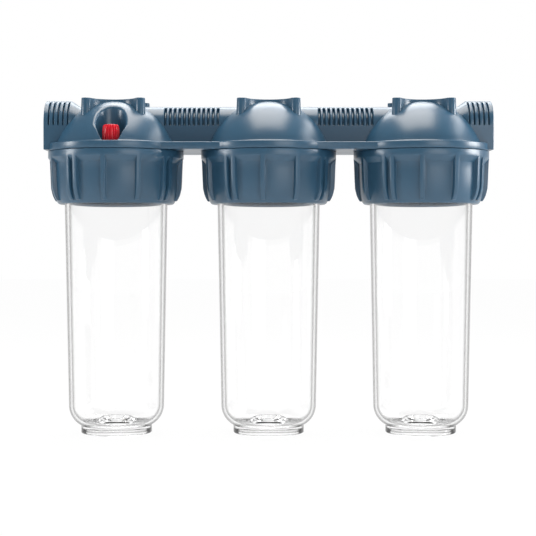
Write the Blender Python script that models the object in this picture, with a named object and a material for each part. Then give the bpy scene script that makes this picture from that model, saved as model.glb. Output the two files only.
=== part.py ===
"""Triple water filter housing: one moulded head carries three clear bowls, each held up by a ribbed ring nut.

Metres, +Z up. X runs along the three housings, -Y is the front, and z = 0 is where the bowls' base rings stand.
"""

import math

import bmesh
import bpy
from mathutils import Matrix

MM = 0.001

# Layout: where each housing stands along X, in pitches from the middle one
HOUSING_GAP = 16.8 * MM
HOUSINGS = {"left": -1, "middle": 0, "right": 1}

# Cartridge that the housings are made for: its length, and how far it stands out of the bowl
CARTRIDGE_LENGTH = 250.0 * MM
CARTRIDGE_STAND = 16.2 * MM

# Fits
PIECE_GAP = 0.3 * MM
OVERRUN = 2.0 * MM
WELD_DISTANCE = 0.001 * MM

# Clear bowl
BOWL_TOP_RADIUS = 48.6 * MM
BOWL_DRAFT = 3.6 * MM
BOWL_WALL = 3.2 * MM
BOWL_CORNER_RADIUS = 21.0 * MM
BOWL_UNDERSIDE_HEIGHT = 5.3 * MM
BASE_RING_SETBACK = 11.5 * MM
BASE_RING_WALL = 3.7 * MM
BASE_RING_EDGE = 1.5 * MM
SEAT_FOOT_RADIUS = 21.2 * MM
SEAT_TOP_RADIUS = 15.0 * MM
SEAT_WELL_RADIUS = 13.0 * MM
SEAT_HEIGHT = 5.7 * MM
NECK_HEIGHT = 20.0 * MM
NECK_STEP = 0.5 * MM
COLLAR_DEPTH = 6.0 * MM
COLLAR_REACH = 3.9 * MM

# Bowl seal, an O-ring lying on the collar round the neck
BOWL_SEAL_CORD = 3.0 * MM

# Ring nut
NUT_HEIGHT = 49.4 * MM
NUT_WALL = 3.8 * MM
NUT_DRAFT = 1.1 * MM
NUT_LIP_DEPTH = 5.3 * MM
NUT_LIP_CLEARANCE = 0.5 * MM
NUT_BAND_HEIGHT = 6.1 * MM
NUT_BAND_STEP = 0.8 * MM
NUT_CHAMFER_HEIGHT = 5.1 * MM
NUT_CORNER_HEIGHT = 15.0 * MM
NUT_CORNER_REACH = 3.6 * MM
NUT_TOP_GAP = 0.4 * MM
THREAD_CLEARANCE = 0.8 * MM
RIB_HEIGHT = 3.7 * MM
RIB_WIDTH = 4.2 * MM
RIB_CORNER_HEIGHT = 13.2 * MM
RIB_CORNER_REACH = 6.2 * MM
RIB_SPACING_DEGREES = 30
RIB_FIRST_DEGREES = -5
RIB_PAIR_DEGREES = 4.1
RIB_PAIR_EVERY = 3

# Head: skirts, flange plate and domes
SKIRT_CLEARANCE = 0.4 * MM
SKIRT_LIP = 2.1 * MM
FLANGE_DEPTH = 6.8 * MM
WEB_SETBACK = 18.5 * MM
DOME_SETBACK = 6.3 * MM
DOME_HEIGHT = 41.2 * MM
DOME_WALL = 4.8 * MM

# Head: screw tower on each dome
TOWER_HEIGHT = 41.9 * MM
TOWER_ROOT_DROP = 22.0 * MM
TOWER_DRAFT = 0.6 * MM
POST_OFFSET = 25.0 * MM
POST_RADIUS = 4.6 * MM
TOWER_WALL_INSET = 11.3 * MM
PILOT_RADIUS = 1.8 * MM
PILOT_DEPTH = 14.0 * MM

# Head: ports, ducts and their fins
PORT_OVERHANG = 1.5 * MM
PORT_RISE = 17.9 * MM
PORT_RADIUS = 23.2 * MM
PORT_LENGTH = 23.9 * MM
PORT_CONE_LENGTH = 7.9 * MM
PORT_FOOT_STEP = 0.8 * MM
DUCT_RADIUS = 17.8 * MM
DUCT_BORE = 11.0 * MM
GROOVE_DEPTH = 2.1 * MM
GROOVE_END_DEGREES = -2
GROOVE_TOP_DEGREES = 70
GROOVE_PITCH = 4.49 * MM
DUCT_GROOVE_WIDTH = 2.9 * MM
PORT_GROOVE_WIDTH = 1.9 * MM
PORT_FIRST_GROOVE = 4.65 * MM
DUCT_GROOVES = 12
PORT_GROOVES = 5

# Threaded insert in each port
INSERT_LENGTH = 13.5 * MM
INSERT_BORE = 12.1 * MM
INSERT_WALL = 4.5 * MM
INSERT_COLLAR_REACH = 1.8 * MM
INSERT_COLLAR_DEPTH = 2.2 * MM

# Cartridge spigot: an elbow that seals on a cartridge and plugs into the duct beside it
SPIGOT_RADIUS = 13.0 * MM
SPIGOT_BORE = 8.8 * MM
SPIGOT_NOSE_LENGTH = 7.0 * MM
SPIGOT_NOSE_TAPER = 1.2 * MM
SPIGOT_CAP_DEPTH = 3.6 * MM
SPIGOT_DISC_RADIUS = 21.0 * MM
SPIGOT_DISC_DEPTH = 3.6 * MM
SPIGOT_EDGE_HEIGHT = 2.0 * MM
SPIGOT_EDGE_WIDTH = 3.0 * MM
PLUG_RADIUS = 12.6 * MM
PLUG_SHOULDER = 2.0 * MM
SOCKET_DEPTH = 11.0 * MM
SOCKET_WALL = 3.0 * MM
PLUG_SEAL_INSET = 4.0 * MM
PLUG_SEAL_CORD = 2.0 * MM
PLUG_CLEARANCE = 0.4 * MM

# Vent screw in its pocket at the front of the left dome
POCKET_SETBACK = 12.6 * MM
POCKET_RADIUS = 13.5 * MM
POCKET_WALL = 3.6 * MM
POCKET_FLOOR_RISE = 0.4 * MM
POCKET_FLOOR_DEPTH = 5.4 * MM
KNOB_RADIUS = 8.0 * MM
KNOB_HEIGHT = 14.6 * MM
KNOB_FLUTE_DEPTH = 0.7 * MM
KNOB_EDGE = 1.2 * MM
KNOB_FLUTES = 18
STEM_RADIUS = 3.0 * MM
STEM_REACH = 1.5 * MM
VENT_SEAL_CORD = 1.6 * MM

# Facets round each kind of circle
LARGE_STEPS = 24
HALF_STEP_DEGREES = 180 / LARGE_STEPS
MEDIUM_STEPS = 14
SMALL_STEPS = 10
PILOT_STEPS = 6
DOME_RINGS = 5
ARCH_STEPS = 7
POST_STEPS = 5
WALL_STEPS = 3
GROOVE_STEPS = 2
CORD_SIDES = 5

# Heights, from the floor up
FLOOR_TOP = BOWL_UNDERSIDE_HEIGHT + BOWL_WALL
SEAT_TOP = FLOOR_TOP + SEAT_HEIGHT
SPIGOT_SEAT = SEAT_TOP + CARTRIDGE_LENGTH
BOWL_HEIGHT = SPIGOT_SEAT - CARTRIDGE_STAND
COLLAR_TOP = BOWL_HEIGHT - NECK_HEIGHT
COLLAR_BOTTOM = COLLAR_TOP - COLLAR_DEPTH
LIP_TOP = COLLAR_BOTTOM - PIECE_GAP
NUT_BOTTOM = LIP_TOP - NUT_LIP_DEPTH
NUT_TOP = NUT_BOTTOM + NUT_HEIGHT
SKIRT_BOTTOM = COLLAR_TOP + PIECE_GAP
FLANGE_BOTTOM = NUT_TOP + NUT_TOP_GAP
FLANGE_TOP = FLANGE_BOTTOM + FLANGE_DEPTH
FLANGE_MIDDLE = (FLANGE_BOTTOM + FLANGE_TOP) / 2
TOWER_TOP = FLANGE_TOP + TOWER_HEIGHT
DUCT_AXIS = FLANGE_TOP + PORT_RISE
POCKET_FLOOR = FLANGE_TOP + POCKET_FLOOR_RISE

# Radii, from the bowl outwards
BOWL_FOOT_RADIUS = BOWL_TOP_RADIUS - BOWL_DRAFT
BASE_RING_RADIUS = BOWL_FOOT_RADIUS - BASE_RING_SETBACK
NECK_RADIUS = BOWL_TOP_RADIUS + NECK_STEP
COLLAR_RADIUS = NECK_RADIUS + COLLAR_REACH
BOWL_SEAL_RADIUS = NECK_RADIUS + PIECE_GAP + BOWL_SEAL_CORD / 2
REBATE_RADIUS = BOWL_SEAL_RADIUS + BOWL_SEAL_CORD / 2 + PIECE_GAP
REBATE_HEIGHT = BOWL_SEAL_CORD + PIECE_GAP
SKIRT_BORE = NECK_RADIUS + SKIRT_CLEARANCE
SKIRT_RADIUS = REBATE_RADIUS + SKIRT_LIP
NUT_BORE = SKIRT_RADIUS + THREAD_CLEARANCE
NUT_LOWER_BORE = COLLAR_RADIUS + THREAD_CLEARANCE
NUT_LIP_BORE = BOWL_TOP_RADIUS + NUT_LIP_CLEARANCE
NUT_BODY_RADIUS = NUT_BORE + NUT_WALL
RIB_RADIUS = NUT_BODY_RADIUS + RIB_HEIGHT
FLANGE_RADIUS = RIB_RADIUS + NUT_BAND_STEP
WEB_HALF_WIDTH = FLANGE_RADIUS - WEB_SETBACK
DOME_FOOT_RADIUS = FLANGE_RADIUS - DOME_SETBACK
DOME_SPHERE_RADIUS = (DOME_FOOT_RADIUS**2 + DOME_HEIGHT**2) / (2 * DOME_HEIGHT)
DOME_CENTRE = FLANGE_TOP + DOME_HEIGHT - DOME_SPHERE_RADIUS
PLUG_SOCKET_RADIUS = PLUG_RADIUS + PLUG_CLEARANCE

# Places along X and Y
HOUSING_PITCH = 2 * FLANGE_RADIUS + HOUSING_GAP
PORT_END = HOUSING_PITCH + FLANGE_RADIUS + PORT_OVERHANG
POCKET_OFFSET = DOME_FOOT_RADIUS - POCKET_SETBACK
INSERT_SOCKET_DEPTH = INSERT_LENGTH + 2 * PIECE_GAP
PLUG_SOCKET_END = PORT_END - HOUSING_PITCH - INSERT_SOCKET_DEPTH - PLUG_SHOULDER
PLUG_REACH = PLUG_SOCKET_END - PIECE_GAP
SOCKET_START = PLUG_REACH - SOCKET_DEPTH


def clear_scene():
    for obj in list(bpy.data.objects):
        bpy.data.objects.remove(obj)


def finish(name, colour, roughness, metallic=0.0, transmission=0.0, ior=1.5):
    """A Principled material, its colour in linear RGB."""
    material = bpy.data.materials.new(name)
    material.use_nodes = True
    shader = material.node_tree.nodes["Principled BSDF"]
    shader.inputs["Base Color"].default_value = (*colour, 1)
    shader.inputs["Roughness"].default_value = roughness
    shader.inputs["Metallic"].default_value = metallic
    shader.inputs["Transmission Weight"].default_value = transmission
    shader.inputs["IOR"].default_value = ior
    return material


def arc(centre, radius, start, end, steps):
    """Points on a circle from angle start to angle end, in degrees, both ends included."""
    angles = [math.radians(start + (end - start) * step / steps) for step in range(steps + 1)]
    return [(centre[0] + radius * math.cos(angle), centre[1] + radius * math.sin(angle)) for angle in angles]


def rounded_corner(radius, height, reach, drop, steps):
    """A quarter ellipse that leaves (radius, height) downwards and turns in by reach over drop."""
    turns = [math.pi / 2 * step / steps for step in range(steps + 1)]
    return [(radius - reach * (1 - math.cos(turn)), height - drop * math.sin(turn)) for turn in turns]


def turned(profile, steps):
    """A solid of revolution about Z. A profile that starts on the axis also ends there and isn't closed."""
    shape = bmesh.new()
    verts = [shape.verts.new((radius, 0, height)) for radius, height in profile]
    pairs = list(zip(verts, verts[1:]))
    if profile[0][0] > 0:
        pairs.append((verts[-1], verts[0]))
    edges = [shape.edges.new(pair) for pair in pairs]
    bmesh.ops.spin(
        shape,
        geom=verts + edges,
        cent=(0, 0, 0),
        axis=(0, 0, 1),
        angle=math.tau,
        steps=steps,
        use_merge=True,
    )
    bmesh.ops.remove_doubles(shape, verts=shape.verts, dist=WELD_DISTANCE)
    bmesh.ops.recalc_face_normals(shape, faces=shape.faces)
    return shape


def lofted(sections):
    """A solid through closed sections that have the same number of points."""
    shape = bmesh.new()
    rings = [[shape.verts.new(point) for point in section] for section in sections]
    for lower, upper in zip(rings, rings[1:]):
        for corner in range(len(lower)):
            following = (corner + 1) % len(lower)
            shape.faces.new((lower[corner], lower[following], upper[following], upper[corner]))
    shape.faces.new(rings[0])
    shape.faces.new(rings[-1])
    bmesh.ops.recalc_face_normals(shape, faces=shape.faces)
    return shape


def moved(shape, x=0.0, y=0.0, z=0.0):
    bmesh.ops.translate(shape, verts=shape.verts, vec=(x, y, z))
    return shape


def rotated(shape, degrees, axis):
    turn = Matrix.Rotation(math.radians(degrees), 3, axis)
    bmesh.ops.rotate(shape, verts=shape.verts, cent=(0, 0, 0), matrix=turn)
    return shape


def laid_along_x(shape):
    """Turns a shape's +Z to +X and lifts it to the ducts' axis."""
    return moved(rotated(shape, 90, "Y"), z=DUCT_AXIS)


def gathered(shapes):
    """Several separate closed shapes in one mesh."""
    whole = bmesh.new()
    for shape in shapes:
        mesh = bpy.data.meshes.new("gathered")
        shape.to_mesh(mesh)
        shape.free()
        whole.from_mesh(mesh)
        bpy.data.meshes.remove(mesh)
    return whole


def placed(name, shape, material=None, location=(0, 0, 0)):
    mesh = bpy.data.meshes.new(name)
    shape.to_mesh(mesh)
    shape.free()
    mesh.shade_smooth()
    mesh.set_sharp_from_angle(angle=math.radians(30))
    obj = bpy.data.objects.new(name, mesh)
    obj.location = location
    bpy.context.scene.collection.objects.link(obj)
    if material:
        mesh.materials.append(material)
    return obj


def combine(target, operation, label, shape):
    """Adds a Boolean to target, with a hidden helper given in target's own coordinates."""
    helper = placed(f"{target.name}_{label}", shape)
    helper.parent = target
    helper.hide_render = True
    helper.display_type = "WIRE"
    boolean = target.modifiers.new(label, "BOOLEAN")
    boolean.operation = operation
    boolean.object = helper
    return helper


def housing_x(side):
    return HOUSINGS[side] * HOUSING_PITCH


def bowl_shape():
    """Bowl with base ring, rounded foot, drafted wall, thick collar and plain neck, and a seat on its floor."""
    corner_centre = (BOWL_FOOT_RADIUS - BOWL_CORNER_RADIUS, BOWL_UNDERSIDE_HEIGHT + BOWL_CORNER_RADIUS)
    ring_reach = (BASE_RING_RADIUS - corner_centre[0]) / BOWL_CORNER_RADIUS
    ring_meets = -math.degrees(math.acos(ring_reach))
    ring_bore = BASE_RING_RADIUS - BASE_RING_WALL
    inner_top = BOWL_TOP_RADIUS - BOWL_WALL
    outside = [(0, BOWL_UNDERSIDE_HEIGHT), (ring_bore, BOWL_UNDERSIDE_HEIGHT), (ring_bore, 0)]
    outside += [(BASE_RING_RADIUS - BASE_RING_EDGE, 0)]
    outside += arc(corner_centre, BOWL_CORNER_RADIUS, ring_meets, 0, 3)
    outside += [(BOWL_TOP_RADIUS, COLLAR_BOTTOM), (COLLAR_RADIUS, COLLAR_BOTTOM)]
    outside += [(COLLAR_RADIUS, COLLAR_TOP), (NECK_RADIUS, COLLAR_TOP), (NECK_RADIUS, BOWL_HEIGHT)]
    inside = [(inner_top, BOWL_HEIGHT)] + arc(corner_centre, BOWL_CORNER_RADIUS - BOWL_WALL, 0, -90, 3)
    inside += [(SEAT_FOOT_RADIUS, FLOOR_TOP), (SEAT_TOP_RADIUS, SEAT_TOP)]
    inside += [(SEAT_WELL_RADIUS, SEAT_TOP), (SEAT_WELL_RADIUS, FLOOR_TOP), (0, FLOOR_TOP)]
    return turned(outside + inside, LARGE_STEPS)


def seal_shape(centre_radius, cord, steps):
    """An O-ring about the origin."""
    section = arc((centre_radius, 0), cord / 2, 0, 360, CORD_SIDES)[:-1]
    return turned(section, steps)


def nut_body_shape():
    """The nut without its ribs, its lower face at z = 0: plain band, chamfer, drafted body and inner lip."""
    band_bottom = NUT_HEIGHT - NUT_BAND_HEIGHT
    chamfer_bottom = band_bottom - NUT_CHAMFER_HEIGHT
    lower_bore_top = NUT_LIP_DEPTH + COLLAR_DEPTH / 2
    step = NUT_BORE - NUT_LOWER_BORE
    foot = rounded_corner(NUT_BODY_RADIUS - NUT_DRAFT, NUT_CORNER_HEIGHT, NUT_CORNER_REACH, NUT_CORNER_HEIGHT, 2)
    outside = foot[::-1] + [(NUT_BODY_RADIUS, chamfer_bottom)]
    outside += [(FLANGE_RADIUS, band_bottom), (FLANGE_RADIUS, NUT_HEIGHT)]
    inside = [(NUT_BORE, NUT_HEIGHT), (NUT_BORE, lower_bore_top + step), (NUT_LOWER_BORE, lower_bore_top)]
    inside += [(NUT_LOWER_BORE, NUT_LIP_DEPTH), (NUT_LIP_BORE, NUT_LIP_DEPTH), (NUT_LIP_BORE, 0)]
    return turned(outside + inside, LARGE_STEPS)


def rib_shape(degrees):
    """One grip rib, rooted in the nut's wall, with a rounded foot. Degrees are from the front, towards +X."""
    root = NUT_BORE + NUT_WALL / 2
    top = NUT_HEIGHT - NUT_BAND_HEIGHT / 2
    outline = [(root, top), (RIB_RADIUS, top)]
    outline += rounded_corner(RIB_RADIUS - NUT_DRAFT, NUT_CORNER_HEIGHT, RIB_CORNER_REACH, RIB_CORNER_HEIGHT, 3)
    outline += [(root, NUT_CORNER_HEIGHT - RIB_CORNER_HEIGHT)]
    sides = [[(radius, across, height) for radius, height in outline] for across in (-RIB_WIDTH / 2, RIB_WIDTH / 2)]
    return rotated(lofted(sides), degrees - 90, "Z")


def rib_angles():
    """A rib or a close pair of them at every 30 degrees: every third place holds a pair."""
    angles = []
    for place in range(360 // RIB_SPACING_DEGREES):
        centre = RIB_FIRST_DEGREES + place * RIB_SPACING_DEGREES
        if place % RIB_PAIR_EVERY == RIB_PAIR_EVERY - 1:
            angles += [centre - RIB_PAIR_DEGREES, centre + RIB_PAIR_DEGREES]
        else:
            angles.append(centre)
    return angles


def flange_outline(height):
    """Outline of the flange plate: three round flanges joined by straight-sided webs."""
    meets = math.degrees(math.asin(WEB_HALF_WIDTH / FLANGE_RADIUS))
    left, middle, right = (housing_x(side) for side in HOUSINGS)
    outline = arc((left, 0), FLANGE_RADIUS, meets, 360 - meets, LARGE_STEPS * 3 // 4)
    outline += arc((middle, 0), FLANGE_RADIUS, meets - 180, -meets, LARGE_STEPS // 4)
    outline += arc((right, 0), FLANGE_RADIUS, meets - 180, 180 - meets, LARGE_STEPS * 3 // 4)
    outline += arc((middle, 0), FLANGE_RADIUS, meets, 180 - meets, LARGE_STEPS // 4)
    return [(x, y, height) for x, y in outline]


def dome_arc(radius, foot_angle):
    """A dome's profile from its foot to its top, on the sphere's own centre."""
    return arc((0, DOME_CENTRE), radius, foot_angle, 90, DOME_RINGS)[:-1] + [(0, DOME_CENTRE + radius)]


def dome_shape():
    foot_angle = math.degrees(math.asin((FLANGE_TOP - DOME_CENTRE) / DOME_SPHERE_RADIUS))
    rise = dome_arc(DOME_SPHERE_RADIUS, foot_angle)
    return turned([(0, FLANGE_MIDDLE), (DOME_FOOT_RADIUS, FLANGE_MIDDLE)] + rise, LARGE_STEPS)


def chamber_shape():
    """The space inside one head: the skirt's bore, its rebate for the bowl seal, and the dome's inside."""
    radius = DOME_SPHERE_RADIUS - DOME_WALL
    spring = math.degrees(math.acos(SKIRT_BORE / radius))
    mouth = SKIRT_BOTTOM - OVERRUN
    rebate_top = COLLAR_TOP + REBATE_HEIGHT
    profile = [(0, mouth), (REBATE_RADIUS, mouth), (REBATE_RADIUS, rebate_top), (SKIRT_BORE, rebate_top)]
    return turned(profile + dome_arc(radius, spring), LARGE_STEPS)


def tower_outline(height, spread):
    """Four round screw posts joined by hollow walls. Each wall's arc is tangent to the posts beside it."""
    post = POST_RADIUS + spread
    inset = TOWER_WALL_INSET + spread
    hollow = POST_OFFSET - inset
    wall_radius = (POST_OFFSET**2 + hollow**2 - post**2) / (2 * (post + hollow))
    tangent = math.degrees(math.atan2(inset + wall_radius - POST_OFFSET, POST_OFFSET))
    outline = []
    for quarter in range(4):
        turn = Matrix.Rotation(math.radians(90 * quarter), 2)
        edge = arc((POST_OFFSET, -POST_OFFSET), post, 180 + tangent, 450 - tangent, POST_STEPS)
        edge += arc((inset + wall_radius, 0), wall_radius, 270 - tangent, 90 + tangent, WALL_STEPS)[1:-1]
        for x, y in edge:
            outline.append((turn[0][0] * x + turn[0][1] * y, turn[1][0] * x + turn[1][1] * y, height))
    return outline


def pipe_section(x, radius, foot):
    """Section of a port or duct: half round on top, straight sides down to foot."""
    arch = arc((0, DUCT_AXIS), radius, 180, 0, ARCH_STEPS)
    return [(x, -radius, foot)] + [(x, y, z) for y, z in arch] + [(x, radius, foot)]


def port_shape(direction):
    """A port's outside: finned barrel, cone and neck, running into its dome. Direction is -1 or 1 along X."""
    foot = FLANGE_BOTTOM + PORT_FOOT_STEP
    neck_end = HOUSING_PITCH + DOME_FOOT_RADIUS / 2
    stations = [(PORT_END, PORT_RADIUS), (PORT_END - PORT_LENGTH, PORT_RADIUS)]
    stations += [(PORT_END - PORT_LENGTH - PORT_CONE_LENGTH, DUCT_RADIUS), (neck_end, DUCT_RADIUS)]
    return lofted([pipe_section(direction * x, radius, foot) for x, radius in stations])


def duct_shape(start):
    """The duct from the housing at start to the next one."""
    ends = (start + DOME_FOOT_RADIUS / 2, start + HOUSING_PITCH - DOME_FOOT_RADIUS / 2)
    return lofted([pipe_section(x, DUCT_RADIUS, FLANGE_MIDDLE) for x in ends])


def groove_shape(x, radius, width, first, last):
    """Cutter for one groove between fins, from one angle about a pipe's axis down to another."""
    outer = arc((0, DUCT_AXIS), radius + OVERRUN, first, last, GROOVE_STEPS)
    inner = arc((0, DUCT_AXIS), radius - GROOVE_DEPTH, last, first, GROOVE_STEPS)
    return lofted([[(x + end, y, z) for y, z in outer + inner] for end in (-width / 2, width / 2)])


def groove_pair(x, radius, width):
    """Cutters for one groove on a pipe's front and one on its back. The crown between them stays whole."""
    front = (180 - GROOVE_END_DEGREES, 180 - GROOVE_TOP_DEGREES)
    back = (GROOVE_TOP_DEGREES, GROOVE_END_DEGREES)
    return [groove_shape(x, radius, width, *ends) for ends in (front, back)]


def groove_shapes():
    shapes = []
    for duct_middle in (-HOUSING_PITCH / 2, HOUSING_PITCH / 2):
        for groove in range(DUCT_GROOVES):
            x = duct_middle + (groove - (DUCT_GROOVES - 1) / 2) * GROOVE_PITCH
            shapes += groove_pair(x, DUCT_RADIUS, DUCT_GROOVE_WIDTH)
    for direction in (-1, 1):
        for groove in range(PORT_GROOVES):
            x = PORT_END - PORT_FIRST_GROOVE - groove * GROOVE_PITCH
            shapes += groove_pair(direction * x, PORT_RADIUS, PORT_GROOVE_WIDTH)
    return shapes


def insert_socket_profile():
    """Radius and depth from the port's end face, for the hole that an insert sits in."""
    body = INSERT_BORE + INSERT_WALL + PIECE_GAP
    collar = body + INSERT_COLLAR_REACH
    collar_depth = INSERT_COLLAR_DEPTH + 2 * PIECE_GAP
    return [(collar, -OVERRUN), (collar, collar_depth), (body, collar_depth), (body, INSERT_SOCKET_DEPTH)]


def inlet_bore_shape():
    """Water way from the left port to the left chamber."""
    steps = insert_socket_profile()
    chamber = PORT_END - HOUSING_PITCH - PLUG_REACH / 2
    profile = [(0, steps[0][1])] + steps + [(DUCT_BORE, steps[-1][1]), (DUCT_BORE, chamber), (0, chamber)]
    return moved(laid_along_x(turned(profile, MEDIUM_STEPS)), x=-PORT_END)


def outlet_bore_shape():
    """Water way from the right chamber to the right port, with the spigot's socket at its start."""
    steps = insert_socket_profile()
    length = PORT_END - HOUSING_PITCH
    profile = [(0, PLUG_REACH / 2), (PLUG_SOCKET_RADIUS, PLUG_REACH / 2)]
    profile += [(PLUG_SOCKET_RADIUS, PLUG_SOCKET_END), (DUCT_BORE, PLUG_SOCKET_END)]
    profile += [(DUCT_BORE, length - steps[-1][1])]
    profile += [(radius, length - depth) for radius, depth in steps[::-1]]
    profile += [(0, length + OVERRUN)]
    return moved(laid_along_x(turned(profile, MEDIUM_STEPS)), x=HOUSING_PITCH)


def duct_bore_shape(start):
    """Water way from one chamber to the next, with the spigot's socket at its start."""
    end = HOUSING_PITCH - PLUG_REACH / 2
    profile = [(0, PLUG_REACH / 2), (PLUG_SOCKET_RADIUS, PLUG_REACH / 2)]
    profile += [(PLUG_SOCKET_RADIUS, PLUG_SOCKET_END), (DUCT_BORE, PLUG_SOCKET_END)]
    profile += [(DUCT_BORE, end), (0, end)]
    return moved(laid_along_x(turned(profile, MEDIUM_STEPS)), x=start)


def pocket_shape():
    """Cutter for the vent's pocket, the seal's counterbore and the stem's hole."""
    hole = STEM_RADIUS + PIECE_GAP
    counterbore = STEM_RADIUS + VENT_SEAL_CORD + 3 * PIECE_GAP
    counterbore_floor = POCKET_FLOOR - VENT_SEAL_CORD - PIECE_GAP
    bottom = POCKET_FLOOR - POCKET_FLOOR_DEPTH - OVERRUN
    top = TOWER_TOP + OVERRUN
    profile = [(0, bottom), (hole, bottom), (hole, counterbore_floor), (counterbore, counterbore_floor)]
    profile += [(counterbore, POCKET_FLOOR), (POCKET_RADIUS, POCKET_FLOOR), (POCKET_RADIUS, top), (0, top)]
    return moved(turned(profile, MEDIUM_STEPS), x=housing_x("left"), y=-POCKET_OFFSET)


def kept_cylinder(radius, start, end):
    """A cylinder of material that a chamber leaves, turned so that its facets don't meet its bore's."""
    shape = turned([(0, start), (radius, start), (radius, end), (0, end)], MEDIUM_STEPS)
    return rotated(shape, 180 / MEDIUM_STEPS, "Z")


def pocket_wall_shape():
    """The material kept round the pocket inside the left chamber."""
    bottom = POCKET_FLOOR - POCKET_FLOOR_DEPTH
    shape = kept_cylinder(POCKET_RADIUS + POCKET_WALL, bottom, TOWER_TOP + OVERRUN)
    return moved(shape, x=housing_x("left"), y=-POCKET_OFFSET)


def plug_sleeve_shape():
    """The material kept round a plug's socket inside a chamber."""
    return laid_along_x(kept_cylinder(PLUG_SOCKET_RADIUS + SOCKET_WALL, SOCKET_START, FLANGE_RADIUS))


def pilot_shapes():
    """Blind holes for the bracket's screws, one in each post."""
    profile = [(0, -PILOT_DEPTH), (PILOT_RADIUS, -PILOT_DEPTH), (PILOT_RADIUS, OVERRUN), (0, OVERRUN)]
    shapes = []
    for side in HOUSINGS:
        for x in (-POST_OFFSET, POST_OFFSET):
            for y in (-POST_OFFSET, POST_OFFSET):
                shapes.append(moved(turned(profile, PILOT_STEPS), x=housing_x(side) + x, y=y, z=TOWER_TOP))
    return shapes


def at_each_housing(make_shape, degrees=0):
    return gathered([moved(rotated(make_shape(), degrees, "Z"), x=housing_x(side)) for side in HOUSINGS])


def skirt_shape():
    profile = [(0, SKIRT_BOTTOM), (SKIRT_RADIUS, SKIRT_BOTTOM), (SKIRT_RADIUS, FLANGE_MIDDLE), (0, FLANGE_MIDDLE)]
    return turned(profile, LARGE_STEPS)


def tower_shape():
    root = TOWER_TOP - TOWER_ROOT_DROP
    return lofted([tower_outline(root, TOWER_DRAFT), tower_outline(TOWER_TOP, 0)])


def build_manifold_head(material):
    """The one-piece moulding that all three housings share."""
    plate = lofted([flange_outline(FLANGE_BOTTOM), flange_outline(FLANGE_TOP)])
    head = placed("manifold_head", plate, material)
    starts = (housing_x("left"), housing_x("middle"))
    pipes = gathered([port_shape(-1), duct_shape(starts[0]), duct_shape(starts[1]), port_shape(1)])
    bores = [inlet_bore_shape(), duct_bore_shape(starts[0]), duct_bore_shape(starts[1]), outlet_bore_shape()]
    combine(head, "UNION", "skirts", at_each_housing(skirt_shape, HALF_STEP_DEGREES))
    combine(head, "UNION", "domes", at_each_housing(dome_shape, HALF_STEP_DEGREES))
    combine(head, "UNION", "pipes", pipes)
    combine(head, "UNION", "towers", at_each_housing(tower_shape))
    combine(head, "DIFFERENCE", "grooves", gathered(groove_shapes()))
    chambers = combine(head, "DIFFERENCE", "chambers", at_each_housing(chamber_shape))
    combine(chambers, "DIFFERENCE", "pocket_wall", pocket_wall_shape())
    combine(chambers, "DIFFERENCE", "plug_sleeves", at_each_housing(plug_sleeve_shape))
    combine(head, "DIFFERENCE", "bores", gathered(bores))
    combine(head, "DIFFERENCE", "pocket", pocket_shape())
    combine(head, "DIFFERENCE", "pilots", gathered(pilot_shapes()))


def spigot_stem_shape():
    """The upright part: nose for the cartridge's hole, disc with a sealing edge, and a closed tube."""
    nose_tip = SPIGOT_SEAT - SPIGOT_NOSE_LENGTH
    disc_bottom = SPIGOT_SEAT + SPIGOT_EDGE_HEIGHT
    disc_top = disc_bottom + SPIGOT_DISC_DEPTH
    edge_inner = SPIGOT_DISC_RADIUS - SPIGOT_EDGE_WIDTH
    edge_middle = SPIGOT_DISC_RADIUS - SPIGOT_EDGE_WIDTH / 2
    top = DUCT_AXIS + SPIGOT_BORE + SPIGOT_CAP_DEPTH
    profile = [(0, nose_tip), (SPIGOT_RADIUS - SPIGOT_NOSE_TAPER, nose_tip), (SPIGOT_RADIUS, disc_bottom)]
    profile += [(edge_inner, disc_bottom), (edge_middle, SPIGOT_SEAT), (SPIGOT_DISC_RADIUS, disc_bottom)]
    profile += [(SPIGOT_DISC_RADIUS, disc_top), (SPIGOT_RADIUS, disc_top), (SPIGOT_RADIUS, top), (0, top)]
    return turned(profile, MEDIUM_STEPS)


def plug_groove():
    """Start, end and floor radius of the groove for the plug's seal, along the plug."""
    end = PLUG_REACH - PLUG_SEAL_INSET
    start = end - PLUG_SEAL_CORD - 2 * PIECE_GAP
    floor = PLUG_SOCKET_RADIUS - PLUG_SEAL_CORD - 2 * PIECE_GAP
    return start, end, floor


def plug_shape():
    """The level part, which plugs into the duct."""
    start, end, floor = plug_groove()
    profile = [(0, SPIGOT_BORE / 2), (PLUG_RADIUS, SPIGOT_BORE / 2), (PLUG_RADIUS, start), (floor, start)]
    profile += [(floor, end), (PLUG_RADIUS, end), (PLUG_RADIUS, PLUG_REACH), (0, PLUG_REACH)]
    return laid_along_x(turned(profile, MEDIUM_STEPS))


def build_cartridge_spigot(side, material):
    stem = moved(spigot_stem_shape(), z=-SPIGOT_SEAT)
    spigot = placed(f"cartridge_spigot_{side}", stem, material, (housing_x(side), 0, SPIGOT_SEAT))
    upright = [(0, -SPIGOT_NOSE_LENGTH - OVERRUN), (SPIGOT_BORE, -SPIGOT_NOSE_LENGTH - OVERRUN)]
    upright += [(SPIGOT_BORE, DUCT_AXIS - SPIGOT_SEAT), (0, DUCT_AXIS - SPIGOT_SEAT)]
    level = [(0, 0), (SPIGOT_BORE, 0), (SPIGOT_BORE, PLUG_REACH + OVERRUN), (0, PLUG_REACH + OVERRUN)]
    combine(spigot, "UNION", "plug", moved(plug_shape(), z=-SPIGOT_SEAT))
    combine(spigot, "DIFFERENCE", "upright_bore", turned(upright, SMALL_STEPS))
    combine(spigot, "DIFFERENCE", "level_bore", moved(laid_along_x(turned(level, SMALL_STEPS)), z=-SPIGOT_SEAT))


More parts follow.
